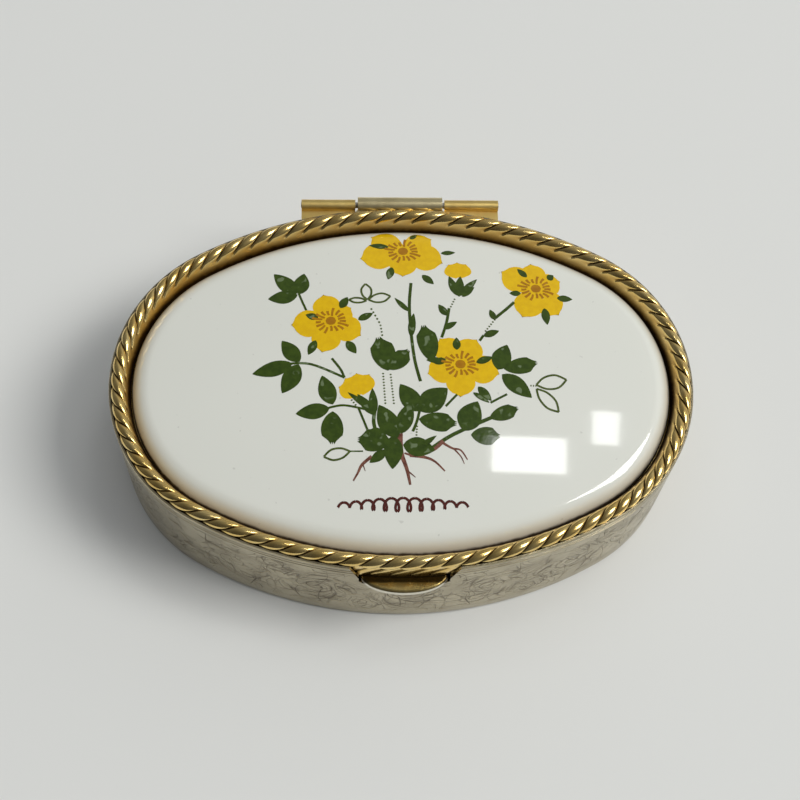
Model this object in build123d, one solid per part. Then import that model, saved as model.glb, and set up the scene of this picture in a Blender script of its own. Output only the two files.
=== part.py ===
from build123d import *
import os
from math import atan2, cos, degrees, hypot, radians, sin, sqrt

# An oval pill box with a porcelain-topped hinged lid.
# Frame: X along the box, +Y towards the hinge, +Z up, origin at the centre of the underside.
# Every outline is the same four-centred oval, inset by some distance from the box's outer wall.
# Sizes are in millimetres.

# The outer pan
BOX_LENGTH = 55.2         # outside the wall, along X
BOX_WIDTH = 37.5          # outside the wall, along Y
END_RADIUS = 15.6         # radius of the outline's two end arcs
WALL_TOP = 14.0           # height of the pan's rim
WALL = 0.25               # the pan's sheet
FLOOR = 0.4               # the pan's bottom
FOOT_ROUND = 0.6          # rounding where the wall meets the bottom

# The liner cup inside the pan
LEDGE_TOP = 11.5          # height of the ledge that the lid closes on
LEDGE_SHEET = 0.35        # thickness of the cup's wall, floor and ledge
LINER_GAP = 0.13          # between the lid's skirt and the cup

# The lid's rim
LID_GAP = 0.12            # between the pan's wall and the lid's skirt
SEAT_GAP = 0.06           # between the ledge and the closed skirt, and between pan and bead
SKIRT = 0.30              # sheet thickness of the skirt and the bezel
BEAD_RADIUS = 0.66        # the rope bead along the top of the rim
BEAD_RISE = 0.10          # height of the bead's centre above the pan's rim
BEAD_SET_IN = 0.51        # bead's centre, inwards from the skirt's outer face
BEAD_TURN = 10.0          # degrees of the bead's inner quarter that the bezel's slope starts above
THROAT_DROP = 1.15        # the throat's top edge, below the pan's rim

# What the lid holds
LID_PAN_DROP = 0.30       # the inner plate's upper face, below the ledge
LID_PAN_SHEET = 0.30
LID_PAN_GAP = 0.45        # between the plate and the cup that it drops into
CARD = 0.30               # the packing card under the porcelain
PLAQUE_GAP = 0.08         # between the porcelain and the bezel's throat
CARD_GAP = 0.13           # between the card and the bezel's throat
CROWN_PROUD = 1.5         # the porcelain's highest point, above the pan's rim
CROWN_RISE = 1.4          # how far the crown rises from its edge
CROWN_ROUND = 1.2         # rounding between the crown and the porcelain's side

# The thumb lip and the notch it sits in
LIP_HALF = 4.05           # half its width
LIP_REACH = 1.15          # how far it stands out of the wall
LIP_SHEET = 0.80
LIP_DROP = 0.15           # its upper face, below the ledge
LIP_ROUND = 0.30
NOTCH_HALF_TOP = 5.05     # half the notch's width at the pan's rim
NOTCH_SIDE_GAP = 0.15     # between the lip and the notch at its narrowest
NOTCH_UNDER_GAP = 0.45    # below the lip
NOTCH_ROUND = 0.6

# The hinge
AXIS_DROP = 0.25          # the pin's axis, below the pan's rim
BARREL_RADIUS = 0.55      # the base's two knuckles
LID_BARREL_RADIUS = 0.80  # the lid's knuckle
PIN_RADIUS = 0.30
PIN_FIT = 0.01            # pin in the base's knuckles
PIN_RUN = 0.04            # pin in the lid's knuckle
PIN_PROUD = 0.05          # how far the pin stands out at each end
HINGE_HALF = 9.75         # half the hinge's length
KNUCKLE_HALF = 4.18       # half the lid's knuckle
KNUCKLE_GAP = 0.25        # between neighbouring knuckles
LEAF = 0.35               # the leaves' sheet
LEAF_DROP = 4.8           # how far the base's leaf reaches down the wall from the axis
SHOULDER = 0.55           # how much the lid's leaf widens towards the rim
SHOULDER_GAP = 0.20       # between the lid's leaf and the sides of its slot
TURN_GAP = 0.20           # around the lid's knuckle, where the wall and leaf are cut back

half_length = BOX_LENGTH / 2
half_width = BOX_WIDTH / 2
skirt_inset = WALL + LID_GAP
liner_inset = skirt_inset + SKIRT + LINER_GAP
skirt_bottom = LEDGE_TOP + SEAT_GAP
lip_top = LEDGE_TOP - LIP_DROP
lip_bottom = lip_top - LIP_SHEET
bead_inset = skirt_inset + BEAD_SET_IN
lid_pan_inset = liner_inset + LEDGE_SHEET + LID_PAN_GAP
throat_inset = lid_pan_inset + SKIRT
lid_pan_top = LEDGE_TOP - LID_PAN_DROP
plaque_bottom = lid_pan_top + CARD
crown_top = WALL_TOP + CROWN_PROUD
axis_y = half_width + BARREL_RADIUS
axis_z = WALL_TOP - AXIS_DROP
slot_bottom = axis_z - LID_BARREL_RADIUS - TURN_GAP
leaf_top = axis_z - BARREL_RADIUS + LEAF

# The outline's four centres: two on X for the ends, two on Y for the long sides.
end_centre = half_length - END_RADIUS
shortfall = half_width - END_RADIUS
side_centre = (end_centre**2 - shortfall**2) / (2 * shortfall)
side_radius = half_width + side_centre
join_angle = atan2(side_centre, end_centre)


def oval(inset):
    """The outline, moved inwards by inset, as a face on the ground."""
    end_r = END_RADIUS - inset
    join_x = end_centre + end_r * cos(join_angle)
    join_y = end_r * sin(join_angle)
    tip_x = half_length - inset
    tip_y = half_width - inset
    arcs = [
        ThreePointArc((join_x, -join_y), (tip_x, 0), (join_x, join_y)),
        ThreePointArc((join_x, join_y), (0, tip_y), (-join_x, join_y)),
        ThreePointArc((-join_x, join_y), (-tip_x, 0), (-join_x, -join_y)),
        ThreePointArc((-join_x, -join_y), (0, -tip_y), (join_x, -join_y)),
    ]
    return make_face(arcs)


def oval_block(inset, bottom, top):
    """A solid slab of the outline."""
    return extrude(Pos(0, 0, bottom) * oval(inset), amount=top - bottom)


def oval_band(outer_inset, inner_inset, bottom, top):
    """An upright band that follows the outline."""
    return oval_block(outer_inset, bottom, top) - oval_block(inner_inset, bottom, top)


def ring(section):
    """A section, given for any radius of the outer wall, turned about the four centres in turn."""
    join = degrees(join_angle)
    turns = [
        (end_centre, 0, -join, 2 * join, END_RADIUS),
        (0, -side_centre, join, 180 - 2 * join, side_radius),
        (-end_centre, 0, 180 - join, 2 * join, END_RADIUS),
        (0, side_centre, 180 + join, 180 - 2 * join, side_radius),
    ]
    whole = None
    for centre_x, centre_y, start, sweep_angle, radius in turns:
        outward = Vector(cos(radians(start)), sin(radians(start)), 0)
        upright = Plane((centre_x, centre_y, 0), x_dir=outward, z_dir=outward.cross(Vector(0, 0, 1)))
        stretch = revolve(upright * section(radius), Axis((centre_x, centre_y, 0), (0, 0, 1)), sweep_angle)
        whole = stretch if whole is None else whole + stretch
    return whole


def box_between(x0, x1, y0, y1, z0, z1):
    """A block given by its two corners."""
    middle = ((x0 + x1) / 2, (y0 + y1) / 2, (z0 + z1) / 2)
    return Pos(*middle) * Box(x1 - x0, y1 - y0, z1 - z0)


def rod_on_axis(x0, x1, radius):
    """A round bar along the hinge's axis, from x0 to x1."""
    end = Plane((x0, axis_y, axis_z), z_dir=(1, 0, 0))
    return extrude(end * Circle(radius), amount=x1 - x0)


def make_notch():
    """The cutter for the half-moon notch in the front of the wall."""
    bottom = lip_bottom - NOTCH_UNDER_GAP
    narrow = LIP_HALF + NOTCH_SIDE_GAP
    above = WALL_TOP + (WALL_TOP - lip_top)
    flare = NOTCH_HALF_TOP + (NOTCH_HALF_TOP - narrow)
    outline = Polyline(
        (-flare, above), (-narrow, lip_top), (-narrow, bottom),
        (narrow, bottom), (narrow, lip_top), (flare, above), close=True,
    )
    face = make_face(outline)
    corners = [corner for corner in face.vertices() if abs(corner.Y - bottom) < NOTCH_ROUND / 10]
    face = fillet(corners, NOTCH_ROUND)
    return extrude(Plane.XZ * face, amount=half_width + LIP_REACH)


def make_outer_pan():
    pan = oval_block(0, 0, WALL_TOP)
    foot = pan.faces().sort_by(Axis.Z)[0]
    pan = fillet(foot.edges(), FOOT_ROUND)
    pan -= oval_block(WALL, FLOOR, WALL_TOP)
    pan -= make_notch()
    slot_half = KNUCKLE_HALF + SHOULDER + SHOULDER_GAP
    return pan - box_between(-slot_half, slot_half, 0, half_width, slot_bottom, WALL_TOP)


def make_liner_cup():
    cup = oval_block(liner_inset, FLOOR, LEDGE_TOP)
    cup -= oval_block(liner_inset + LEDGE_SHEET, FLOOR + LEDGE_SHEET, LEDGE_TOP)
    ledge = oval_band(WALL, liner_inset, LEDGE_TOP - LEDGE_SHEET, LEDGE_TOP)
    gap_half = LIP_HALF + NOTCH_SIDE_GAP
    ledge -= box_between(-gap_half, gap_half, -half_width, 0, LEDGE_TOP - LEDGE_SHEET, LEDGE_TOP)
    return cup + ledge


def rim_section(radius):
    """The rim's stamped channel: skirt, rope bead, sloping bezel and throat."""
    bead_z = WALL_TOP + BEAD_RISE
    overhang_z = WALL_TOP + SEAT_GAP
    overhang = bead_inset - sqrt(BEAD_RADIUS**2 - (bead_z - overhang_z) ** 2)
    slope_inset = bead_inset + BEAD_RADIUS * cos(radians(BEAD_TURN))
    slope_z = bead_z + BEAD_RADIUS * sin(radians(BEAD_TURN))
    throat_z = WALL_TOP - THROAT_DROP
    ceiling = bead_z - SKIRT

    def at(inset, z):
        return (radius - inset, z)

    crest = ThreePointArc(at(overhang, overhang_z), at(bead_inset, bead_z + BEAD_RADIUS),
                          at(slope_inset, slope_z))
    rest = Polyline(
        at(slope_inset, slope_z), at(throat_inset, throat_z), at(throat_inset, lid_pan_top),
        at(lid_pan_inset, lid_pan_top), at(lid_pan_inset, throat_z), at(bead_inset + SKIRT, ceiling),
        at(skirt_inset + SKIRT, ceiling), at(skirt_inset + SKIRT, skirt_bottom),
        at(skirt_inset, skirt_bottom), at(skirt_inset, overhang_z), at(overhang, overhang_z),
    )
    return make_face([crest, rest])


def make_lid_rim():
    return ring(rim_section)


def make_thumb_lip():
    """A crescent soldered under the front of the skirt."""
    centre_y = half_width - skirt_inset - SKIRT
    plan = Pos(0, -centre_y) * Ellipse(LIP_HALF, LIP_REACH + skirt_inset + SKIRT)
    plate = extrude(Pos(0, 0, lip_bottom) * plan, amount=LIP_SHEET)
    plate = fillet(plate.edges(), LIP_ROUND)
    plate -= oval_block(skirt_inset + SKIRT, lip_bottom, lip_top)
    stem_half = LIP_HALF - 2 * LIP_ROUND
    stem = oval_band(skirt_inset, skirt_inset + SKIRT, lip_top, skirt_bottom)
    stem = stem & box_between(-stem_half, stem_half, -half_width, 0, lip_top, skirt_bottom)
    return plate + stem


def make_lid_pan():
    return oval_block(lid_pan_inset, lid_pan_top - LID_PAN_SHEET, lid_pan_top)


def make_packing_card():
    return oval_block(throat_inset + CARD_GAP, lid_pan_top, plaque_bottom)


def make_porcelain_plaque():
    """A cabochon: straight side, rounded shoulder, and a crown that curves both ways."""
    inset = throat_inset + PLAQUE_GAP
    reach_x = half_length - inset
    reach_y = half_width - inset
    long_radius = (reach_x**2 + CROWN_RISE**2) / (2 * CROWN_RISE)
    cross_radius = (reach_y**2 + CROWN_RISE**2) / (2 * CROWN_RISE)
    spin_z = crown_top - cross_radius
    end_z = crown_top - long_radius + sqrt(long_radius**2 - half_length**2)
    profile = make_face([
        ThreePointArc((-half_length, end_z), (0, crown_top), (half_length, end_z)),
        Polyline((half_length, end_z), (half_length, spin_z), (-half_length, spin_z), (-half_length, end_z)),
    ])
    barrel = revolve(Plane.XZ * profile, Axis((0, 0, spin_z), (1, 0, 0)), 360)
    plaque = oval_block(inset, plaque_bottom, crown_top + CROWN_RISE) & barrel
    side_top = crown_top - CROWN_RISE - CROWN_ROUND
    shoulder = [edge for edge in plaque.edges() if edge.bounding_box().min.Z > side_top]
    return fillet(shoulder, CROWN_ROUND)


def make_base_hinge_leaf():
    """Two knuckles on a leaf that is bent down and soldered to the back of the wall."""
    inner = KNUCKLE_HALF + KNUCKLE_GAP
    leaf = oval_band(-LEAF, 0, axis_z - LEAF_DROP, leaf_top)
    leaf = leaf & box_between(-HINGE_HALF, HINGE_HALF, 0, axis_y, axis_z - LEAF_DROP, leaf_top)
    leaf -= box_between(-inner, inner, 0, axis_y + LEAF, slot_bottom, leaf_top)
    for side in (-1, 1):
        near, far = sorted((side * inner, side * HINGE_HALF))
        web = box_between(near, far, 0, axis_y, axis_z - BARREL_RADIUS, leaf_top)
        leaf += web - oval_block(0, 0, WALL_TOP)
        leaf += rod_on_axis(near, far, BARREL_RADIUS)
    return leaf - rod_on_axis(-HINGE_HALF, HINGE_HALF, PIN_RADIUS + PIN_FIT)


def make_lid_hinge_leaf():
    """The middle knuckle, with a shouldered leaf that passes through the slot to the rim."""
    barrel = rod_on_axis(-KNUCKLE_HALF, KNUCKLE_HALF, LID_BARREL_RADIUS)
    shoulder_y = half_width - SEAT_GAP
    rim_y = half_width - skirt_inset - SKIRT
    wide = KNUCKLE_HALF + SHOULDER
    plan = Polyline(
        (-KNUCKLE_HALF, axis_y), (-KNUCKLE_HALF, shoulder_y), (-wide, rim_y),
        (wide, rim_y), (KNUCKLE_HALF, shoulder_y), (KNUCKLE_HALF, axis_y), close=True,
    )
    web = extrude(Pos(0, 0, WALL_TOP - LEAF) * make_face(plan), amount=LEAF)
    web -= oval_block(skirt_inset, 0, WALL_TOP)
    return barrel + web - rod_on_axis(-KNUCKLE_HALF, KNUCKLE_HALF, PIN_RADIUS + PIN_RUN)


def make_hinge_pin():
    reach = HINGE_HALF + PIN_PROUD
    return rod_on_axis(-reach, reach, PIN_RADIUS)


PARTS = {
    "outer_pan": make_outer_pan,
    "liner_cup": make_liner_cup,
    "base_hinge_leaf": make_base_hinge_leaf,
    "hinge_pin": make_hinge_pin,
    "lid_hinge_leaf": make_lid_hinge_leaf,
    "lid_rim": make_lid_rim,
    "thumb_lip": make_thumb_lip,
    "lid_pan": make_lid_pan,
    "packing_card": make_packing_card,
    "porcelain_plaque": make_porcelain_plaque,
}

os.makedirs("parts", exist_ok=True)
for name, make in PARTS.items():
    piece = make()
    export_step(piece, f"parts/{name}.step")
    size = piece.bounding_box().size
    print(f"{name}: {size.X:.2f} x {size.Y:.2f} x {size.Z:.2f} mm, {piece.volume:.1f} mm3")
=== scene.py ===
# %% [markdown]
# # An oval pill box with a porcelain lid
# This lesson dresses a small hinged metal box. The box's frame, a set of named parts with a working
# hinge, comes from CAD, and it is never moved or resized here. Parts whose plain CAD shape is right
# keep it and get a finish. The roped rim, the engraved wall and the porcelain with its flowers need
# more shape than CAD gave them, so new meshes stand in for those three.

# %% Load the frame
from math import asin, atan2, cos, degrees, hypot, pi, radians, sin, sqrt

import bpy
import numpy as np
from mathutils import Matrix, Vector


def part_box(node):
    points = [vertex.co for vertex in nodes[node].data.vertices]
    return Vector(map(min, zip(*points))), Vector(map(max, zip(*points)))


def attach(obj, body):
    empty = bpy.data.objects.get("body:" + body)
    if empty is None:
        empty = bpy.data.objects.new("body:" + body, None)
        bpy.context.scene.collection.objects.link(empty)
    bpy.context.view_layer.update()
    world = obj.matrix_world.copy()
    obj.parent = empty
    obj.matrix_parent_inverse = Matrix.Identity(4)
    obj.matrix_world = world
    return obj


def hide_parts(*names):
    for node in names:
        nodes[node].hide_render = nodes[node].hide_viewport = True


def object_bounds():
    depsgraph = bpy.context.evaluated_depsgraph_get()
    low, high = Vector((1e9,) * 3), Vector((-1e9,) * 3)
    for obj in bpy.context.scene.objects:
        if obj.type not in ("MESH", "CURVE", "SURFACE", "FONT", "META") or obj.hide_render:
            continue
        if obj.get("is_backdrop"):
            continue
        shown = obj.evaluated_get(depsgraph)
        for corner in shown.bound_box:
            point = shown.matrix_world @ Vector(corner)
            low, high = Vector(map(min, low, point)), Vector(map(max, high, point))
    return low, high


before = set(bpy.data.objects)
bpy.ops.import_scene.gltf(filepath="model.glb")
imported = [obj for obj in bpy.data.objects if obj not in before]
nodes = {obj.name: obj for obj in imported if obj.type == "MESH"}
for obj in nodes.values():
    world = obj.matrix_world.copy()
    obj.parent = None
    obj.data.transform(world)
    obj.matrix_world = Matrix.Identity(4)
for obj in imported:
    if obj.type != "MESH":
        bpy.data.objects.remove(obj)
cad_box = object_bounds()
print("CAD box in mm:", [[round(1000 * value, 2) for value in corner] for corner in cad_box])

# %% [markdown]
# ## The camera
# A camera is an object whose own axes say where it looks: its -Z is forward and its +Y is up. The box
# is seen from high in front, a little from the left, with a slight roll, so the three axes are worked
# out from those angles and written into the camera's matrix. It stands about 16 cm away, close enough
# for the near side of the oval to look slightly larger than the far side.

# %% Camera
mm = 0.001
view_height, view_turn, view_roll = radians(66.494), radians(-5.37), radians(4.995)
aim = Vector((0, 0, 6 * mm))
distance, slide_right, slide_up = 158.455 * mm, 0.017 * mm, 1.465 * mm

back = Vector((sin(view_turn) * cos(view_height), -cos(view_turn) * cos(view_height), sin(view_height)))
level = Vector((cos(view_turn), sin(view_turn), 0))
upright = back.cross(level)
right = cos(view_roll) * level + sin(view_roll) * upright
up = cos(view_roll) * upright - sin(view_roll) * level
place = aim + slide_right * right + slide_up * up + distance * back

camera_data = bpy.data.cameras.new("camera")
camera_data.lens, camera_data.sensor_width = 72, 36
camera_data.clip_start, camera_data.clip_end = 0.005, 10
camera = bpy.data.objects.new("camera", camera_data)
turn = Matrix((right, up, back)).transposed()
camera.matrix_world = Matrix.Translation(place) @ turn.to_4x4()
bpy.context.scene.collection.objects.link(camera)
bpy.context.scene.camera = camera
print("camera at", [round(1000 * value, 1) for value in place], "mm")

# %% [markdown]
# ## Light and floor
# Polished metal shows its surroundings, so the world matters as much as the lamps. The world here is
# a soft grey that is brighter on the right and behind, darker low down and in front, and a little dimmer
# straight overhead. One large lamp on the right gives the soft shadow, and two small bright panels high
# up give the porcelain its window-like glints. The floor is a plain matt board.

# %% World
world = bpy.data.worlds.new("studio")
bpy.context.scene.world = world
world.use_nodes = True
tree = world.node_tree
tree.nodes.clear()
direction = tree.nodes.new("ShaderNodeTexCoord")
split = tree.nodes.new("ShaderNodeSeparateXYZ")
tree.links.new(direction.outputs["Generated"], split.inputs[0])


def world_ramp(axis, stops):
    """Grey levels along one axis of the sky."""
    ramp = tree.nodes.new("ShaderNodeMapRange")
    ramp.interpolation_type = "SMOOTHSTEP"
    for name, value in zip(("From Min", "From Max", "To Min", "To Max"), stops):
        ramp.inputs[name].default_value = value
    tree.links.new(split.outputs[axis], ramp.inputs["Value"])
    return ramp.outputs["Result"]


def world_math(operation, first, second):
    node = tree.nodes.new("ShaderNodeMath")
    node.operation = operation
    for socket, value in zip(node.inputs, (first, second)):
        if isinstance(value, (int, float)):
            socket.default_value = value
        else:
            tree.links.new(value, socket)
    return node.outputs[0]


side = world_ramp("X", (-0.75, 0.65, 0.32, 1.15))
height = world_ramp("Z", (-0.10, 0.55, 0.42, 1.0))
zenith = world_ramp("Z", (0.55, 0.90, 1.0, 0.60))
front = world_ramp("Y", (-0.9, 0.3, 0.35, 1.08))
sky = world_math("MULTIPLY", world_math("MULTIPLY", side, height), world_math("MULTIPLY", zenith, front))
background = tree.nodes.new("ShaderNodeBackground")
background.inputs["Color"].default_value = (0.97, 0.985, 1.0, 1)
tree.links.new(world_math("MULTIPLY", sky, 0.42), background.inputs["Strength"])
output = tree.nodes.new("ShaderNodeOutputWorld")
tree.links.new(background.outputs[0], output.inputs[0])
bpy.context.scene.view_settings.view_transform = "Standard"


# %% Lamps and floor
def panel(name, toward, away, width, depth, power, colour):
    """A rectangular lamp that faces the box from a direction."""
    lamp = bpy.data.lights.new(name, "AREA")
    lamp.shape, lamp.size, lamp.size_y = "RECTANGLE", width, depth
    lamp.energy, lamp.color = power, colour
    holder = bpy.data.objects.new(name, lamp)
    outward = Vector(toward).normalized()
    across = (Vector((1, 0, 0)) - outward.x * outward).normalized()
    facing = Matrix((across, outward.cross(across), outward)).transposed()
    holder.matrix_world = Matrix.Translation(outward * away) @ facing.to_4x4()
    bpy.context.scene.collection.objects.link(holder)
    return holder


key = panel("key_lamp", (0.80, -0.10, 1.08), 1.50, 0.60, 0.60, 13.6, (1.0, 0.985, 0.95))
window_a = panel("window_lamp_a", (0.221, 0.210, 0.966), 1.01, 0.110, 0.092, 0.26, (0.98, 1.0, 0.98))
window_b = panel("window_lamp_b", (0.330, 0.281, 0.920), 1.02, 0.040, 0.088, 0.08, (0.98, 1.0, 0.98))
fill = panel("fill_lamp", (0.0, 0.0, 1.0), 1.2, 1.2, 1.2, 3.6, (0.97, 0.985, 1.0))
fill.visible_glossy = False

bpy.ops.mesh.primitive_plane_add(size=3.0, location=(0, 0, 0))
floor = bpy.context.object
floor.name = "floor"
floor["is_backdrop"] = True
print("lamps:", [lamp.name for lamp in (key, window_a, window_b, fill)])

# %% [markdown]
# ## A short way to write shader maths
# A material is a graph of small nodes, and wiring it by hand hides the idea behind the plumbing. A
# Wire wraps one socket, so that adding or multiplying two wires adds the Math node, and a Finish makes
# the material and any other node in one call. The recipes below then read like plain formulas.


# %% Shader helper
class Wire:
    """One output socket of a finish's graph, with arithmetic."""

    def __init__(self, finish, socket):
        self.finish, self.socket = finish, socket

    def math(self, operation, first, second):
        return self.finish.node("ShaderNodeMath", {"operation": operation}, {0: first, 1: second})

    def __add__(self, other):
        return self.math("ADD", self, other)

    def __radd__(self, other):
        return self.math("ADD", other, self)

    def __sub__(self, other):
        return self.math("SUBTRACT", self, other)

    def __rsub__(self, other):
        return self.math("SUBTRACT", other, self)

    def __mul__(self, other):
        return self.math("MULTIPLY", self, other)

    def __rmul__(self, other):
        return self.math("MULTIPLY", other, self)


class Finish:
    """A material, made node by node. Its shader is a Principled BSDF."""

    def __init__(self, name, **values):
        self.material = bpy.data.materials.new(name)
        self.material.use_nodes = True
        self.tree = self.material.node_tree
        self.tree.nodes.clear()
        self.shader = self.tree.nodes.new("ShaderNodeBsdfPrincipled")
        end = self.tree.nodes.new("ShaderNodeOutputMaterial")
        self.tree.links.new(self.shader.outputs[0], end.inputs[0])
        for socket, value in values.items():
            self.feed(socket.replace("_", " "), value)

    def node(self, kind, settings, sockets, take=0):
        """Adds a node: its settings first, then its sockets' values or links. Gives one output."""
        made = self.tree.nodes.new(kind)
        for name, value in settings.items():
            if name == "stops":
                ramp = made.color_ramp
                while len(ramp.elements) < len(value):
                    ramp.elements.new(0.5)
                for element, (position, colour) in zip(ramp.elements, value):
                    element.position, element.color = position, (*colour, 1)
            else:
                setattr(made, name, value)
        for name, value in sockets.items():
            self.join(value, made.inputs[name])
        return Wire(self, made.outputs[take])

    def join(self, value, socket):
        if isinstance(value, Wire):
            self.tree.links.new(value.socket, socket)
        elif isinstance(value, tuple) and len(value) == 3 and socket.type == "RGBA":
            socket.default_value = (*value, 1)
        else:
            socket.default_value = value

    def feed(self, socket, value):
        self.join(value, self.shader.inputs[socket])

    def place(self):
        """Where a point is on the object, in metres."""
        return self.node("ShaderNodeTexCoord", {}, {}, "Object")

    def noise(self, per_mm, detail=3.0, stretch=(1, 1, 1), rough=0.55):
        """Cloudy values from 0 to 1, so many to the millimetre."""
        spot = self.node("ShaderNodeMapping", {}, {"Vector": self.place(), "Scale": stretch})
        sockets = {"Vector": spot, "Scale": per_mm / mm, "Detail": detail, "Roughness": rough}
        return self.node("ShaderNodeTexNoise", {}, sockets)

    def mark(self, name):
        """A value that a mesh carries at its points."""
        return self.node("ShaderNodeAttribute", {"attribute_name": name}, {}, "Fac")

    def uv(self, layer):
        """The two coordinates of a mesh's own map."""
        flat = self.node("ShaderNodeUVMap", {"uv_map": layer}, {})
        return self.split(flat)[:2]

    def split(self, vector):
        """The three numbers of a vector."""
        first = self.node("ShaderNodeSeparateXYZ", {}, {0: vector})
        return [Wire(self, output) for output in first.socket.node.outputs]

    def between(self, value, low, high, out_low=0.0, out_high=1.0):
        """Carries a value from one range to another, with soft ends."""
        sockets = {"Value": value, "From Min": low, "From Max": high, "To Min": out_low, "To Max": out_high}
        return self.node("ShaderNodeMapRange", {"interpolation_type": "SMOOTHSTEP"}, sockets)

    def mix(self, share, first, second):
        """Blends two colours."""
        return self.node("ShaderNodeMix", {"data_type": "RGBA"}, {0: share, 6: first, 7: second}, 2)

    def math_abs(self, value):
        return self.node("ShaderNodeMath", {"operation": "ABSOLUTE"}, {0: value})

    def bump(self, height, strength, depth):
        """Small relief from a value, depth in mm."""
        sockets = {"Height": height, "Strength": strength, "Distance": depth * mm}
        self.feed("Normal", self.node("ShaderNodeBump", {}, sockets))


def dress(piece, finish):
    """Gives a piece its finish."""
    piece.data.materials.clear()
    piece.data.materials.append(finish.material)


board = Finish("pale_board", Roughness=0.9, Specular_IOR_Level=0.2)
mottle = board.noise(0.02, 2.0)
board.feed("Base Color", board.mix(mottle, (0.735, 0.745, 0.730), (0.755, 0.765, 0.750)))
dress(floor, board)
print("helper ready, floor dressed")

# %% [markdown]
# ## The four-centred oval
# Every part of this box follows one oval, made of four arcs: two tight ones at the ends and two long
# shallow ones at the front and back. A section turned about the four centres in turn sweeps the whole
# oval, because neighbouring arcs share a radius line where they meet. The same four centres also give
# any point two simple coordinates: how far it is along the oval, and how far in from the outer wall.

# %% Oval
_, pan_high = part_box("outer_pan")
half_length, half_width = pan_high.x, pan_high.y
end_radius = 15.6 * mm
end_centre = half_length - end_radius
shortfall = half_width - end_radius
side_centre = (end_centre**2 - shortfall**2) / (2 * shortfall)
side_radius = half_width + side_centre
join_angle = atan2(side_centre, end_centre)
RULE = 0.5 * mm  # the inset that lengths along the oval are measured at
quarter = (end_radius - RULE) * join_angle + (side_radius - RULE) * (pi / 2 - join_angle)


def unroll(x, y):
    """Arrays of lengths along the oval, from the right end counter-clockwise, and of insets."""
    ax, ay = np.abs(x), np.abs(y)
    end_turn = np.arctan2(ay, ax - end_centre)
    side_turn = np.arctan2(ay + side_centre, ax)
    on_end = (end_turn < join_angle) & (ax > end_centre)
    end_inset = end_radius - np.hypot(ax - end_centre, ay)
    side_inset = side_radius - np.hypot(ax, ay + side_centre)
    inset = np.where(on_end, end_inset, side_inset)
    on_side = (end_radius - RULE) * join_angle + (side_radius - RULE) * (side_turn - join_angle)
    along = np.where(on_end, (end_radius - RULE) * end_turn, on_side)
    along = np.where(x < 0, 2 * quarter - along, along)
    along = np.where(y < 0, 4 * quarter - along, along)
    return along, inset


def roll(along, inset):
    """The way back: x and y of points from their lengths along the oval and their insets."""
    along = along % (4 * quarter)
    fold = along % (2 * quarter)
    near = np.where(fold < quarter, fold, 2 * quarter - fold)
    end_arc = (end_radius - RULE) * join_angle
    end_turn, side_turn = near / (end_radius - RULE), join_angle + (near - end_arc) / (side_radius - RULE)
    on_end = near < end_arc
    end_reach, side_reach = end_radius - inset, side_radius - inset
    x = np.where(on_end, end_centre + end_reach * np.cos(end_turn), side_reach * np.cos(side_turn))
    y = np.where(on_end, end_reach * np.sin(end_turn), side_reach * np.sin(side_turn) - side_centre)
    x = np.where((along > quarter) & (along < 3 * quarter), -x, x)
    return x, np.where(along > 2 * quarter, -y, y)


print(f"oval {2000 * half_length:.1f} x {2000 * half_width:.1f} mm, {4000 * quarter:.1f} mm round")

# %% [markdown]
# ## Tools for the bench
# Each new mesh starts as a primitive and is worked with the same few moves: select one piece alone, pull
# a circle to a section, sweep that section round the oval, and close what is left open. An operator acts
# on everything that is selected, so each of these helpers clears the selection first.


# %% Modelling helpers
def deselect():
    if bpy.context.object and bpy.context.object.mode == "EDIT":
        bpy.ops.object.mode_set(mode="OBJECT")
    bpy.ops.object.select_all(action="DESELECT")


def only(piece):
    deselect()
    piece.select_set(True)
    bpy.context.view_layer.objects.active = piece


def coordinates(piece):
    """A mesh's points as an array, one row each."""
    flat = np.empty(3 * len(piece.data.vertices))
    piece.data.vertices.foreach_get("co", flat)
    return flat.reshape(-1, 3)


def reshape(piece, points):
    """Moves a mesh's points to new places."""
    piece.data.vertices.foreach_set("co", np.asarray(points, float).ravel())
    piece.data.update()


def section_loop(name, points):
    """A closed loop of edges in the upright plane at +X: a circle primitive, pulled to a section.

    The section is a list of (inset, height) in mm."""
    deselect()
    bpy.ops.mesh.primitive_circle_add(vertices=len(points), radius=mm, fill_type="NOTHING")
    piece = bpy.context.object
    piece.name = name
    reshape(piece, [(half_length - inset * mm, 0, z * mm) for inset, z in points])
    return piece


def sweep(piece, end_steps, side_steps):
    """Turns a section at the oval's right end about two centres, then mirrors that quarter twice."""
    only(piece)
    bpy.ops.object.mode_set(mode="EDIT")
    bpy.ops.mesh.select_all(action="SELECT")
    legs = [(end_centre, 0, join_angle, end_steps), (0, -side_centre, pi / 2 - join_angle, side_steps)]
    for x, y, angle, steps in legs:
        bpy.ops.mesh.spin(steps=steps, angle=-angle, center=(x, y, 0), axis=(0, 0, 1))
    bpy.ops.mesh.select_all(action="SELECT")
    bpy.ops.mesh.remove_doubles(threshold=0.002 * mm)
    bpy.ops.object.mode_set(mode="OBJECT")
    apply(piece, "MIRROR", use_axis=(True, True, False), use_mirror_merge=True, merge_threshold=0.005 * mm)
    face_outwards(piece)


def face_outwards(piece):
    """Turns all the faces of a mesh outwards."""
    only(piece)
    bpy.ops.object.mode_set(mode="EDIT")
    bpy.ops.mesh.select_all(action="SELECT")
    bpy.ops.mesh.normals_make_consistent(inside=False)
    bpy.ops.object.mode_set(mode="OBJECT")


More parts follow.
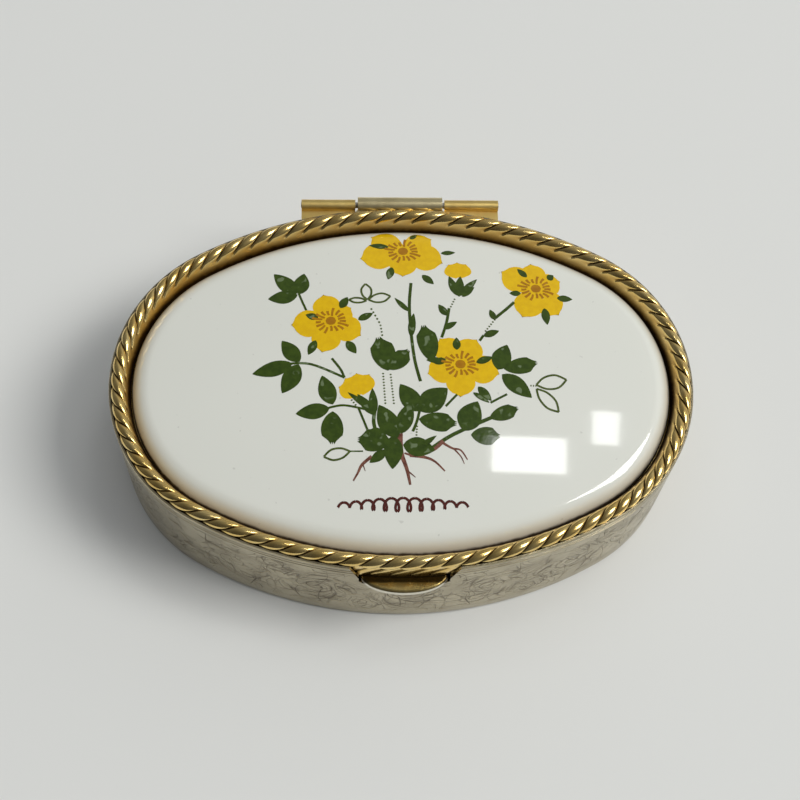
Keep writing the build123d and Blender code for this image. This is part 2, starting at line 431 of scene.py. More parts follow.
def close_openings(piece):
    """Fills each open loop of edges with a face."""
    only(piece)
    bpy.ops.object.mode_set(mode="EDIT")
    bpy.ops.mesh.select_mode(type="EDGE")
    bpy.ops.mesh.select_all(action="DESELECT")
    bpy.ops.mesh.select_non_manifold(extend=False, use_wire=False, use_boundary=True, use_multi_face=False,
                                     use_non_contiguous=False, use_verts=False)
    bpy.ops.mesh.edge_face_add()
    bpy.ops.mesh.select_mode(type="VERT")
    face_outwards(piece)


def polish(piece, angle):
    """Smooth shading, but for edges sharper than an angle in degrees."""
    only(piece)
    bpy.ops.object.shade_smooth_by_angle(angle=radians(angle))


def carry(piece, name, values):
    """Stores a value at each point of a mesh, for its finish to read."""
    layer = piece.data.attributes.new(name, "FLOAT", "POINT")
    layer.data.foreach_set("value", np.asarray(values, np.float32))


def apply(piece, kind, **settings):
    """Adds a modifier and applies it."""
    only(piece)
    modifier = piece.modifiers.new(kind.lower(), kind)
    for name, value in settings.items():
        setattr(modifier, name, value)
    bpy.ops.object.modifier_apply(modifier=modifier.name)


def arc(centre, radius, start, end, count):
    """Points on an arc in a section, angles in degrees, outward 0 and up 90."""
    turns = [radians(start + (end - start) * i / count) for i in range(count + 1)]
    return [(centre[0] - radius * cos(t), centre[1] + radius * sin(t)) for t in turns]


def line(start, end, count):
    """Points between two points of a section, without the last."""
    return [tuple(a + (b - a) * i / count for a, b in zip(start, end)) for i in range(count)]


# %% [markdown]
# ## The roped rim
# The lid's rim is a strip of brass, rolled to a bead along its top and milled with slanting cuts, so
# that it looks like a twisted rope. It could be an array of small tilted lobes, but the lobes have to run
# into a smooth slope on the inside. So the plain channel is swept first, and then each point is pushed
# in by how near it is to a cut, a little for the lobe's rounding and more at the cut itself.

# %% Rim
LOBES_ON_END, LOBES_ON_SIDE = 9.75, 11   # on half an end, and on half a long side: 83 in all
STEPS_PER_LOBE = 12
LEAN = 1.0                # mm along the rim for each mm outwards
BEAD = (0.88, 14.10)      # the bead's centre, as an inset and a height in mm
BEAD_R = 0.66
BEAD_TURN = 10.0          # degrees of the bead's inner quarter above the slope's top
CUT = 0.27                # how deep the cuts are, in mm
SHEET = 0.30              # the rim's sheet
SKIRT_OUT, SKIRT_IN = 0.37, 0.67
SEAT, OVERHANG = 11.56, 14.06        # heights of the skirt's lower edge and of the bead's underside
PLATE_EDGE, THROAT = 1.60, 1.90      # insets of the throat's two faces
THROAT_TOP, THROAT_END = 12.85, 11.20
CEILING = BEAD[1] - SHEET
INTO_SLOPE = (0.965, 0.26)           # the way into the metal from the slope: outwards, and down
FADE_FROM, FADE_OVER = -0.62, 0.80   # where the cuts begin, and how soon they are at full depth

under = degrees(asin((BEAD[1] - OVERHANG) / BEAD_R))
slope_top = (BEAD[0] + BEAD_R * cos(radians(BEAD_TURN)), BEAD[1] + BEAD_R * sin(radians(BEAD_TURN)))
slope = line(slope_top, (THROAT, THROAT_TOP), 10)
channel = (
    arc(BEAD, BEAD_R, -under, 180 - BEAD_TURN, 30)
    + slope[1:]
    + line((THROAT, THROAT_TOP), (THROAT, THROAT_END), 3)
    + line((THROAT, THROAT_END), (PLATE_EDGE, THROAT_END), 1)
    + line((PLATE_EDGE, THROAT_END), (PLATE_EDGE, THROAT_TOP), 2)
    + line((PLATE_EDGE, THROAT_TOP), (BEAD[0] + SHEET, CEILING), 3)
    + line((BEAD[0] + SHEET, CEILING), (SKIRT_IN, CEILING), 2)
    + line((SKIRT_IN, CEILING), (SKIRT_IN, SEAT), 3)
    + line((SKIRT_IN, SEAT), (SKIRT_OUT, SEAT), 1)
    + line((SKIRT_OUT, SEAT), (SKIRT_OUT, OVERHANG), 14)
    + [(SKIRT_OUT, OVERHANG)]
)
rim = section_loop("roped_rim", channel)
sweep(rim, round(LOBES_ON_END * STEPS_PER_LOBE), LOBES_ON_SIDE * STEPS_PER_LOBE)

points = coordinates(rim)
along, inset = unroll(points[:, 0], points[:, 1])
inset_mm, height_mm = inset / mm, points[:, 2] / mm
bead_turn = np.arctan2(height_mm - BEAD[1], BEAD[0] - inset_mm)
reach = np.hypot(height_mm - BEAD[1], BEAD[0] - inset_mm)
on_bead = (np.abs(reach - BEAD_R) < 0.01) & (bead_turn > -0.19)
on_skirt = ~on_bead & (inset_mm < SKIRT_IN - 0.1)
on_slope = ~on_bead & (inset_mm > slope_top[0]) & (height_mm > THROAT_TOP)
outward = np.where(on_bead, BEAD_R * (radians(180 - BEAD_TURN) - bead_turn), 0.0)
outward = np.where(on_slope, -np.hypot(inset_mm - slope_top[0], height_mm - slope_top[1]), outward)
ledge_run = BEAD_R * radians(180 - BEAD_TURN + under) + SKIRT_OUT - BEAD[0] + BEAD_R
outward = np.where(on_skirt, ledge_run + (OVERHANG - height_mm), outward)

end_arc = (end_radius - RULE) * join_angle
half, lobes_each_side = 2 * quarter, 2 * LOBES_ON_SIDE
marks = np.array([0, end_arc, half - end_arc, half + end_arc, 2 * half - end_arc, 2 * half])
lobe_marks = np.cumsum([0, LOBES_ON_END, lobes_each_side, 2 * LOBES_ON_END, lobes_each_side, LOBES_ON_END])
phase = np.interp(along, marks, lobe_marks)
across = np.abs(phase - np.floor(phase + 1e-6) - 0.5) * 2
groove = 1 - np.sqrt(np.clip(1 - across**2.0, 0, 1))
fade = np.clip((outward - FADE_FROM) / FADE_OVER, 0, 1)
fade = fade * fade * (3 - 2 * fade) * (on_bead | on_slope | on_skirt)
depth = CUT * groove * fade
push = np.where(on_bead, np.cos(bead_turn), np.where(on_slope, -INTO_SLOPE[0], 1))
drop = np.where(on_bead, np.sin(bead_turn), np.where(on_slope, INTO_SLOPE[1], 0))
x, y = roll(along - LEAN * outward * mm, inset + depth * push * mm)
rise = depth * drop * mm
reshape(rim, np.column_stack([x, y, points[:, 2] - rise]))
carry(rim, "groove", np.clip(groove * fade, 0, 1))
# The smooth inner slope is marked so that its finish can paint it dark: painted shade, a painted reflection
# of dark surroundings.
inside = np.clip((inset_mm - slope_top[0] - 0.06) / 0.2, 0, 1)
carry(rim, "inside", inside * (height_mm > THROAT_TOP - 0.05))
polish(rim, 50)
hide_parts("lid_rim")
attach(rim, "lid")
print("rim:", len(rim.data.polygons), "faces,", round(lobe_marks[-1]), "lobes")

# %% [markdown]
# ## The gilt of the rim
# Thin gilding over brass is bright where fingers rub it, and brown where polish and dirt stay in the
# cuts. The finish is one metal whose colour falls towards brown with the groove value that the mesh
# carries, with cloudy wear on top, and roughness that rises with the dirt. The smooth inner slope is
# painted dark brown, a painted reflection of dark surroundings.

# %% Rim finish
gilt = Finish("gilt_rope", Metallic=1.0)
groove_mark = gilt.mark("groove")
painted_slope_shade = gilt.mark("inside")
cloud = gilt.noise(0.35, 4.0)
grain = gilt.noise(4.0, 3.0)
bright = gilt.mix(gilt.between(cloud, 0.35, 0.7), (0.84, 0.58, 0.19), (0.92, 0.71, 0.31))
dirt = gilt.between(groove_mark + (grain - 0.5) * 0.30, 0.22, 0.80)
metal = gilt.mix(dirt * 0.95, bright, (0.060, 0.030, 0.008))
# Painted shade: the inner slope is darkened towards brown, a painted reflection of dark surroundings.
metal = gilt.mix(painted_slope_shade * 0.85, metal, (0.24, 0.145, 0.032))
gilt.feed("Base Color", metal)
gilt.feed("Roughness", 0.20 + dirt * 0.32 + (grain - 0.5) * 0.12)
gilt.bump(grain, 0.25, 0.012)
dress(rim, gilt)

# %% [markdown]
# ## The engraved wall
# The pan is pressed from thin sheet, plain in a narrow band under its top edge and engraved below with
# running scrolls. The section swept here has the foot's rounding, two fine lines rolled in under the top
# edge, and the flat bottom. The scrolls are cut far finer than any sensible mesh, so they belong to the
# finish, and the wall only gets a map that says how far along and how high each corner is, in mm.

# %% Wall
WALL_SHEET, FLOOR_SHEET, FOOT_ROUND, WALL_TOP = 0.25, 0.4, 0.6, 14.0
HOLE = 8.0                # inset, in mm, of the loop that the floor's face closes
outer_rows = [(0.0, z) for z in np.linspace(FOOT_ROUND, 12.55, 10)]
bands = [(0.0, 12.62), (0.05, 12.70), (0.05, 12.78), (0.0, 12.86), (0.0, 13.18), (0.05, 13.26), (0.05, 13.32),
         (0.0, 13.40), (0.0, 13.94), (0.05, WALL_TOP), (0.20, WALL_TOP)]
foot = arc((FOOT_ROUND, FOOT_ROUND), FOOT_ROUND, -90, 0, 6)[:-1]
wall_section = (
    [(HOLE, 0.0)] + foot + outer_rows + bands
    + line((WALL_SHEET, 13.95), (WALL_SHEET, FLOOR_SHEET), 6)
    + [(WALL_SHEET, FLOOR_SHEET), (HOLE, FLOOR_SHEET)]
)
wall = section_loop("engraved_wall", wall_section)
far = half_length - HOLE * mm
bpy.ops.object.mode_set(mode="EDIT")
bpy.ops.mesh.select_mode(type="EDGE")
bpy.ops.mesh.select_all(action="DESELECT")
bpy.ops.object.mode_set(mode="OBJECT")
for edge in wall.data.edges:
    edge.select = all(abs(wall.data.vertices[i].co.x - far) < 1e-7 for i in edge.vertices)
bpy.ops.object.mode_set(mode="EDIT")
bpy.ops.mesh.delete(type="EDGE_FACE")
bpy.ops.mesh.select_mode(type="VERT")
bpy.ops.object.mode_set(mode="OBJECT")
sweep(wall, 66, 76)
close_openings(wall)
print("wall:", len(wall.data.polygons), "faces")

# %% [markdown]
# ### The notch and the hinge's slot
# The front of the wall has a half-moon notch for the thumb lip, and the back a slot that the lid's
# hinge leaf swings through. Both go through the sheet, so a solid is shaped for each one from a cube
# and taken away with a Boolean modifier, the way a punch takes a piece out of sheet metal.

# %% Notch and slot
lip_low, lip_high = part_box("thumb_lip")


def punch(name, low, high):
    """A block between two corners, to cut with."""
    deselect()
    bpy.ops.mesh.primitive_cube_add(size=1)
    block = bpy.context.object
    block.name = name
    unit_points = coordinates(block)
    low, high = np.array(low), np.array(high)
    reshape(block, low + (high - low) * (unit_points + 0.5))
    return block


NOTCH_HALF, NOTCH_FLOOR, NOTCH_ROUND = 4.2 * mm, 10.1 * mm, 0.6 * mm
FLARE_HALF, FLARE_FROM, FLARE_TO = 5.371 * mm, 11.35 * mm, 15 * mm   # the sides lean out above the lip
SLOT_HALF, SLOT_FLOOR = 4.93 * mm, 12.75 * mm
notch = punch("notch_punch", (-NOTCH_HALF, -half_width - mm, NOTCH_FLOOR),
              (NOTCH_HALF, -half_width + mm, WALL_TOP * mm))
only(notch)
bpy.ops.object.mode_set(mode="EDIT")
bpy.ops.mesh.select_all(action="SELECT")
bpy.ops.mesh.bisect(plane_co=(0, 0, FLARE_FROM), plane_no=(0, 0, 1))
bpy.ops.mesh.select_all(action="DESELECT")
bpy.ops.object.mode_set(mode="OBJECT")
flared = coordinates(notch)
upper = flared[:, 2] > 13 * mm
flared[:, 2] = np.where(upper, FLARE_TO, flared[:, 2])
flared[:, 0] = np.where(upper, np.sign(flared[:, 0]) * FLARE_HALF, flared[:, 0])
reshape(notch, flared)
for edge in notch.data.edges:
    ends = [notch.data.vertices[i].co for i in edge.vertices]
    edge.select = all(end.z < NOTCH_FLOOR + 0.1 * mm for end in ends) and abs(ends[0].x - ends[1].x) < 1e-6
only(notch)
bpy.ops.object.mode_set(mode="EDIT")
bpy.ops.mesh.bevel(offset=NOTCH_ROUND, segments=6, affect="EDGES")
face_outwards(notch)
slot = punch("slot_punch", (-SLOT_HALF, half_width - 2 * mm, SLOT_FLOOR),
             (SLOT_HALF, half_width + mm, 15 * mm))
for cutter in (notch, slot):
    apply(wall, "BOOLEAN", operation="DIFFERENCE", solver="EXACT", object=cutter)
    bpy.data.objects.remove(cutter)


def map_round(piece, name):
    """A map in mm: along the oval, and up. A face across the oval's start keeps its corners together."""
    mesh = piece.data
    layer = mesh.uv_layers.new(name=name)
    points = coordinates(piece)
    along, _ = unroll(points[:, 0], points[:, 1])
    corners = np.empty(len(mesh.loops), int)
    mesh.loops.foreach_get("vertex_index", corners)
    starts, sizes = np.empty(len(mesh.polygons), int), np.empty(len(mesh.polygons), int)
    mesh.polygons.foreach_get("loop_start", starts)
    mesh.polygons.foreach_get("loop_total", sizes)
    u, whole = along[corners], 4 * quarter
    highest = np.repeat(np.maximum.reduceat(u, starts), sizes)
    u = np.where(highest - u > whole / 2, u + whole, u)
    layer.data.foreach_set("uv", np.column_stack([u, points[corners, 2]]).ravel() / mm)


map_round(wall, "wall_mm")
points = coordinates(wall)
_, inset = unroll(points[:, 0], points[:, 1])
carry(wall, "outside", inset < 0.1 * mm)
polish(wall, 42)
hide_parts("outer_pan")
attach(wall, "base")
print("wall with its openings:", len(wall.data.polygons), "faces")

# %% [markdown]
# ## The pale metal of the wall and its scrolls
# The wall is a paler, thinner gilding, worn almost to silver. Its scrolls are written as formulas of the
# map: the length along the wall is folded back and forth, so that each scroll faces its mirror image, and
# round a scroll's centre the radius and the angle are known. A line where radius and angle add up to a
# whole number is a spiral, and the same trick with more turns gives curling leaves and fine hatching.


# %% Scroll formulas
REPEATS = 9
fold_mm = 4 * quarter / mm / REPEATS / 2


class Engraver:
    """Line patterns on a finish, in mm, from the wall's map."""

    def __init__(self, finish, layer):
        self.finish = finish
        u, self.v = finish.uv(layer)
        self.u = self.ask("PINGPONG", u, fold_mm)

    def ask(self, operation, *values):
        return self.finish.node("ShaderNodeMath", {"operation": operation}, dict(enumerate(values)))

    def line(self, phase, width):
        """1 on the lines where a phase is a whole number and a half, so wide in phase."""
        away = self.ask("ABSOLUTE", self.ask("FRACT", phase) - 0.5)
        return self.finish.between(away, width, width * 0.35)

    def scroll(self, x, z, reach, turn, pitch, arms):
        """A spiral with leaves that curl off it, round a centre."""
        dx, dz = self.u - x, self.v - z
        radius = self.ask("SQRT", dx * dx + dz * dz)
        angle = self.ask("ARCTAN2", dz, dx) * (1 / (2 * pi))
        within = self.finish.between(radius, reach * 1.02, reach * 0.98)
        core = self.finish.between(radius, reach * 0.62, reach * 0.58)
        ring = within * (1 - core)
        wave = angle * arms * turn + radius * (0.95 / pitch * 0.5)
        spiral = self.line(radius * (1 / pitch) + angle * turn, 0.10) * core
        leaves = self.line(wave, 0.10) * ring
        hatch = self.line(wave * 4.0 + radius * (0.4 * turn), 0.17) * ring
        side = self.finish.between(self.ask("FRACT", wave), 0.42, 0.38)
        edge = self.line(radius * (1 / reach) + 0.5 + self.ask("SINE", wave * (2 * pi)) * 0.06, 0.028)
        curls = self.ask("MAXIMUM", spiral, leaves)
        return self.ask("MAXIMUM", curls, self.ask("MAXIMUM", hatch * side * 0.7, edge))


# %% Wall finish
pale = Finish("worn_silver_gilt", Metallic=1.0)
graver = Engraver(pale, "wall_mm")
big = graver.scroll(fold_mm * 0.5, 7.3, 3.5, 1.0, 0.95, 6.0)
high = graver.scroll(0.0, 10.7, 1.7, -1.0, 0.6, 5.0)
low = graver.scroll(fold_mm, 4.3, 2.0, -1.0, 0.7, 5.0)
cuts = graver.ask("MAXIMUM", big, graver.ask("MAXIMUM", high, low))
flow = pale.noise(0.22, 0.5)
swirls = graver.line(flow * 16.0, 0.13) * 0.6
outer_face = pale.between(pale.mark("outside"), 0.90, 0.99)
field = pale.between(graver.v, 12.35, 12.2) * pale.between(graver.v, 1.2, 2.6) * outer_face
cuts = graver.ask("MAXIMUM", cuts, swirls * (1 - cuts)) * field
worn = pale.between(pale.noise(0.4, 3.0), 0.32, 0.62)
lower_line = pale.between(pale.math_abs(graver.v - 12.74), 0.09, 0.04)
rolled = lower_line + pale.between(pale.math_abs(graver.v - 13.29), 0.07, 0.03)
cuts = cuts * worn + rolled * outer_face * 0.5
cloud = pale.noise(0.25, 4.0)
grain = pale.noise(3.5, 3.0)
scratch = pale.noise(1.2, 2.0, (1, 1, 9))
metal = pale.mix(pale.between(cloud, 0.3, 0.7), (0.52, 0.455, 0.31), (0.37, 0.315, 0.20))
pale.feed("Base Color", pale.mix(cuts * 0.80, metal, (0.085, 0.060, 0.028)))
pale.feed("Roughness", 0.24 + (scratch - 0.5) * 0.14 + cuts * 0.15)
pale.bump((scratch * 0.12) - cuts, 1.0, 0.12)
dress(wall, pale)
print("wall finish:", len(pale.tree.nodes), "nodes")

# %% [markdown]
# ## The porcelain
# The lid's centre is a cabochon of glazed porcelain: flat below, with a straight side, a rounded
# shoulder, and a crown that is long and shallow one way and rounder the other. Its top has to be very
# smooth, because a gloss shows every facet. So a grid of rings is grown inwards from the oval's own
# edge, and each point is set to the height that a formula gives for its place.

# %% Crown
plaque_low, plaque_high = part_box("porcelain_plaque")
FILM_OVER = 0.03 * mm     # room under the CAD shape's top for the printed film
crown_top, crown_base = plaque_high.z - FILM_OVER, plaque_low.z
edge_inset = half_length - plaque_high.x
CROWN_RISE, SHOULDER = 1.4 * mm, 1.8 * mm
long_radius = (plaque_high.x**2 + CROWN_RISE**2) / (2 * CROWN_RISE)
cross_radius = (plaque_high.y**2 + CROWN_RISE**2) / (2 * CROWN_RISE)


def crown(x, y):
    """The height of the porcelain at a place, away from its shoulder."""
    sag = long_radius - np.sqrt(long_radius**2 - x**2)
    return crown_top - cross_radius + np.sqrt((cross_radius - sag) ** 2 - y**2)


def shouldered(x, y):
    """The height of the porcelain with its rounded shoulder."""
    _, inset = unroll(x, y)
    step = np.clip(SHOULDER - (inset - edge_inset), 0, SHOULDER)
    return crown(x, y) - (SHOULDER - np.sqrt(SHOULDER**2 - step**2))


AROUND = 288
deselect()
bpy.ops.mesh.primitive_circle_add(vertices=AROUND, radius=mm, fill_type="NOTHING")
plaque = bpy.context.object
plaque.name = "porcelain_crown"
x, y = roll(np.arange(AROUND) / AROUND * 4 * quarter, np.full(AROUND, edge_inset))
reshape(plaque, np.column_stack([x, y, np.full(AROUND, crown_base)]))
bpy.ops.object.mode_set(mode="EDIT")
bpy.ops.mesh.select_all(action="SELECT")
SIDE_ROWS, SHOULDER_ROWS, CROWN_ROWS = 3, 14, 34
rows = SIDE_ROWS + SHOULDER_ROWS + CROWN_ROWS
for _ in range(rows):
    bpy.ops.mesh.extrude_region_move()
bpy.ops.mesh.edge_face_add()
bpy.ops.object.mode_set(mode="OBJECT")

ring, spoke = np.divmod(np.arange(len(plaque.data.vertices)), AROUND)
along = spoke / AROUND * 4 * quarter
roll_in = np.clip((ring - SIDE_ROWS) / SHOULDER_ROWS, 0, 1) * pi / 2
x, y = roll(along, edge_inset + SHOULDER * (1 - np.cos(roll_in)))
pull = np.clip((rows - ring) / CROWN_ROWS, 0.004, 1)
x, y = x * pull, y * pull
top = shouldered(x, y)
z = np.where(ring <= SIDE_ROWS, crown_base + (top - crown_base) * ring / SIDE_ROWS, top)
reshape(plaque, np.column_stack([x, y, z]))
close_openings(plaque)
_, inset = unroll(x, y)
carry(plaque, "from_edge", (inset - edge_inset) / mm)
polish(plaque, 60)
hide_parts("porcelain_plaque")
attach(plaque, "lid")
print(f"crown: {len(plaque.data.polygons)} faces, top at {1000 * coordinates(plaque)[:, 2].max():.2f} mm")

# %% [markdown]
# ## The glaze
# White porcelain is a milky body under clear glass. The body's colour drifts a little and carries a few
# specks, and a thin clear coat gives the second, sharper gloss. Over about a millimetre from the metal the
# colour is tinted brown-gold, a painted reflection of the gold rim, and it turns dark at the very edge.

# %% Porcelain finish
glaze = Finish("glazed_porcelain", Roughness=0.055, Coat_Weight=0.4, Coat_Roughness=0.03, IOR=1.5)
tint = glaze.noise(0.06, 2.0)
speck = glaze.between(glaze.noise(1.6, 1.0), 0.745, 0.80)
body = glaze.mix(tint, (0.72, 0.735, 0.675), (0.77, 0.78, 0.725))
body = glaze.mix(speck * 0.35, body, (0.42, 0.42, 0.39))
# Painted colour by distance from the edge: a brown-gold tint is a painted reflection of the gold rim, and the
# narrowest band is made dark.
ragged = glaze.mark("from_edge") + (glaze.noise(1.2, 3.0) - 0.5) * 0.16
seam = glaze.between(ragged, 0.21, 0.07)
painted_gold_reflection = glaze.between(ragged, 1.2, 0.15)
body = glaze.mix(painted_gold_reflection * 0.45, body, (0.50, 0.38, 0.22))
glaze.feed("Base Color", glaze.mix(seam * 0.92, body, (0.045, 0.022, 0.008)))
glaze.bump(glaze.noise(0.25, 1.0), 0.10, 0.01)
dress(plaque, glaze)

# %% [markdown]
# ## The printed flowers
# Such lids carry a transfer: flat enamel colours, printed on film, laid on the glaze and fired. One
# could paint them in a texture, but an outline that is cut as a mesh stays crisp from close by. So a few
# blanks are modelled once, a petal, a leaf, a leaf with a toothed tip, a strip and a disc, as grids with
# their own maps, and each is stamped onto the crown as a film a few hundredths of a millimetre thick.
# The drawing itself is a free one: open yellow flowers, leaves in threes, roots, and a plain flourish.


# %% Blanks
def blank(name, cells, half_width_at, tip=None):
    """A flat grid, 1 long and shaped by a half width along it, with a map and some thickness."""
    deselect()
    long_cells, cross_cells = cells
    bpy.ops.mesh.primitive_grid_add(x_subdivisions=long_cells, y_subdivisions=cross_cells, size=1,
                                    location=(0.5, 0, 0))
    bpy.ops.object.transform_apply(location=True)
    piece = bpy.context.object
    piece.name = name
    piece.data.uv_layers[0].name = "blank"
    shaped = []
    for t, s, z in coordinates(piece):
        push = tip(s * 2) * max(0.0, t - 0.55) / 0.45 if tip else 0
        shaped.append((t + push, s * 2 * half_width_at(min(max(t, 0), 1)), z))
    reshape(piece, shaped)
    bpy.ops.object.mode_set(mode="EDIT")
    bpy.ops.mesh.select_all(action="SELECT")
    bpy.ops.mesh.extrude_region_move(TRANSFORM_OT_translate={"value": (0, 0, 1)})
    face_outwards(piece)
    return piece


def petal_width(t):
    opening = sin(pi * min(1.0, t / 0.62) * 0.5)
    closing = sqrt(max(0.0, 1 - max(0, (t - 0.50) / 0.50) ** 2.2))
    return 0.16 + 0.40 * opening * closing - 0.15 * max(0.0, (t - 0.6) / 0.4) ** 2


def leaf_width(t):
    return 0.02 + 0.5 * sin(pi * t**0.85) ** 0.85


def toothed_width(t):
    return 0.02 + 0.5 * sin(pi * 0.78 * t**0.8) ** 0.9 * (1 if t < 0.8 else 1 - 0.7 * (t - 0.8) / 0.2)


def teeth(s):
    return 0.16 * (abs((1.5 * s) % 1 - 0.5) - 0.25)


petal = blank("petal_blank", (12, 8), petal_width, lambda s: -0.05 * abs(s) ** 2)
leaf = blank("leaf_blank", (14, 6), leaf_width)
toothed = blank("toothed_blank", (14, 12), toothed_width, teeth)
strip = blank("strip_blank", (24, 1), lambda t: 0.5)
disc = blank("disc_blank", (10, 8), lambda t: sqrt(max(0.0, 0.25 - (t - 0.5) ** 2)) + 0.02)
print("blanks:", [len(piece.data.polygons) for piece in (petal, leaf, toothed, strip, disc)], "faces")


# %% Stamps
FILM_UNDER = -0.03        # the film's lower side, in mm from the glaze
layers = {}


def lay(kind, colour, map_points, level):
    """Copies a blank into a colour's layer. Its flat points become places on the lid, in mm."""
    group = layers.setdefault(colour, [])
    piece = kind.copy()
    piece.data = kind.data.copy()
    bpy.context.scene.collection.objects.link(piece)
    flat = coordinates(kind)
    x, y = map_points(flat[:, 0], flat[:, 1])
    lift = np.where(flat[:, 2] > 0.5, level + 0.0007 * (len(group) % 9), FILM_UNDER)
    reshape(piece, np.column_stack([x * mm, y * mm, shouldered(x * mm, y * mm) + lift * mm]))
    group.append(piece)


def stamp(kind, colour, foot, tip, width, level, bend=0.0):
    """Lays a blank from its foot to its tip, so wide at its widest, with its midrib bent sideways."""
    (x0, y0), (x1, y1) = foot, tip
    length = hypot(x1 - x0, y1 - y0)
    ux, uy = (x1 - x0) / length, (y1 - y0) / length

    def map_points(t, s):
        sideways = s * width + bend * length * t * (1 - t)
        return x0 + ux * t * length - uy * sideways, y0 + uy * t * length + ux * sideways
    lay(kind, colour, map_points, level)


def stroke(colour, path, width, level, taper=0.0):
    """Lays a strip along a smooth line through some points."""
    knots = np.array([path[0], *path, path[-1]], float)
    spans = len(path) - 1

    def map_points(t, s):
        place = np.clip(np.asarray(t) * spans, 0, spans - 1e-9)
        k, f = np.floor(place).astype(int), (place % 1)[:, None]
        p0, p1, p2, p3 = (knots[k + i] for i in range(4))
        square, cube = 2 * p0 - 5 * p1 + 4 * p2 - p3, 3 * p1 - p0 - 3 * p2 + p3
        point = 0.5 * (2 * p1 + (p2 - p0) * f + square * f**2 + cube * f**3)
        slope = 0.5 * ((p2 - p0) + 2 * square * f + 3 * cube * f**2)
        slope /= np.maximum(np.hypot(slope[:, 0], slope[:, 1]), 1e-6)[:, None]
        half = s * width * (1 - taper * np.asarray(t))
        return point[:, 0] - slope[:, 1] * half, point[:, 1] + slope[:, 0] * half
    lay(strip, colour, map_points, level)


def dashes(colour, path, width, level, count):
    """A dotted line: short strokes along straight runs between points."""
    lengths = [hypot(b[0] - a[0], b[1] - a[1]) for a, b in zip(path, path[1:])]
    for (a, b), length in zip(zip(path, path[1:]), lengths):
        number = max(1, round(count * length / sum(lengths)))
        for i in range(number):
            ends = [tuple(p + (q - p) * (i + share) / number for p, q in zip(a, b)) for share in (0.1, 0.68)]
            stamp(leaf, colour, ends[0], ends[1], width, level)


def outline_leaf(foot, tip, width, level):
    """A leaf drawn with two curved lines and left white."""
    (x0, y0), (x1, y1) = foot, tip
    nx, ny = -(y1 - y0), x1 - x0
    for side in (-0.5, 0.5):
        half = side * width / hypot(nx, ny)
        path = [foot, (x0 + 0.3 * (x1 - x0) + nx * half * 0.9, y0 + 0.3 * (y1 - y0) + ny * half * 0.9),
                (x0 + 0.68 * (x1 - x0) + nx * half, y0 + 0.68 * (y1 - y0) + ny * half), tip]
        stroke("outline_green", path, 0.20, level)


# %% Flowers
FLOWERS = [  # the middle, then each petal's direction in degrees and its length in mm
    ((0.2, 13.7), [(150, 3.6), (192, 4.3), (268, 3.0), (340, 4.1), (28, 3.2)]),
    ((-6.8, 5.8), [(104, 3.0), (186, 3.8), (256, 3.5), (330, 3.3), (36, 2.4)]),
    ((13.0, 9.6), [(150, 3.8), (97, 2.9), (20, 2.6), (305, 3.6), (245, 3.6)]),
    ((5.4, 1.2), [(125, 3.3), (58, 3.1), (345, 3.8), (268, 3.4), (198, 3.3)]),
]
for (x, y), petals in FLOWERS:
    for direction_deg, length in petals:
        turn_angle = radians(direction_deg)
        tip = (x + length * cos(turn_angle), y + length * sin(turn_angle))
        stamp(petal, "yellow", (x, y), tip, 1.35 + 0.34 * length, 0.010, 0.05)
    stamp(disc, "brown", (x - 0.5, y), (x + 0.5, y), 0.85, 0.024)
    for k in range(17):
        turn_angle = 2 * pi * k / 17 + 0.3
        start, end = 0.62 + 0.1 * (k % 3), 1.25 + 0.35 * ((k * 5) % 4) / 3
        path = [(x + r * 1.15 * cos(turn_angle + lean), y + r * 0.88 * sin(turn_angle + lean))
                for r, lean in ((start, 0), ((start + end) / 2, 0.05), (end, 0.02))]
        stroke("brown", path, 0.19, 0.024, -0.35)

SEPALS = [
    ((-1.2, 14.2), (-3.1, 14.4), 0.6), ((0.9, 15.2), (1.6, 15.8), 0.5), ((3.9, 13.5), (5.3, 13.6), 0.5),
    ((-0.9, 11.8), (-1.3, 10.4), 0.75), ((2.0, 10.9), (3.1, 9.9), 0.7),
    ((-5.9, 7.2), (-5.2, 8.4), 0.8), ((-4.2, 5.9), (-2.8, 6.6), 0.7), ((-5.3, 3.6), (-4.4, 2.3), 0.85),
    ((-8.2, 3.7), (-8.9, 2.2), 0.8), ((-8.0, 6.1), (-9.2, 6.5), 0.7),
    ((12.2, 10.9), (11.3, 11.8), 0.6), ((14.2, 10.7), (14.8, 11.2), 0.7), ((15.0, 8.6), (16.5, 8.5), 0.7),
    ((13.7, 7.4), (13.9, 5.6), 0.8), ((11.5, 9.0), (10.4, 9.0), 0.6),
    ((5.1, 2.7), (5.1, 4.0), 0.75), ((6.9, 1.4), (8.5, 2.0), 0.7), ((7.0, -1.1), (8.2, -2.5), 0.8),
    ((3.7, 1.6), (2.2, 1.6), 0.6),
]
for foot, tip, width in SEPALS:
    stamp(leaf, "green", foot, tip, width, 0.020)

for middle, fan, length in (((-4.0, -1.9), (68, 100, 132, 160), 2.2), ((5.5, 10.7), (62, 92, 122), 1.75)):
    for direction_deg in fan:
        turn_angle = radians(direction_deg)
        tip = (middle[0] + length * cos(turn_angle), middle[1] + length * sin(turn_angle))
        stamp(petal, "yellow", middle, tip, 1.6, 0.010)
print("flowers laid:", {colour: len(group) for colour, group in layers.items()})

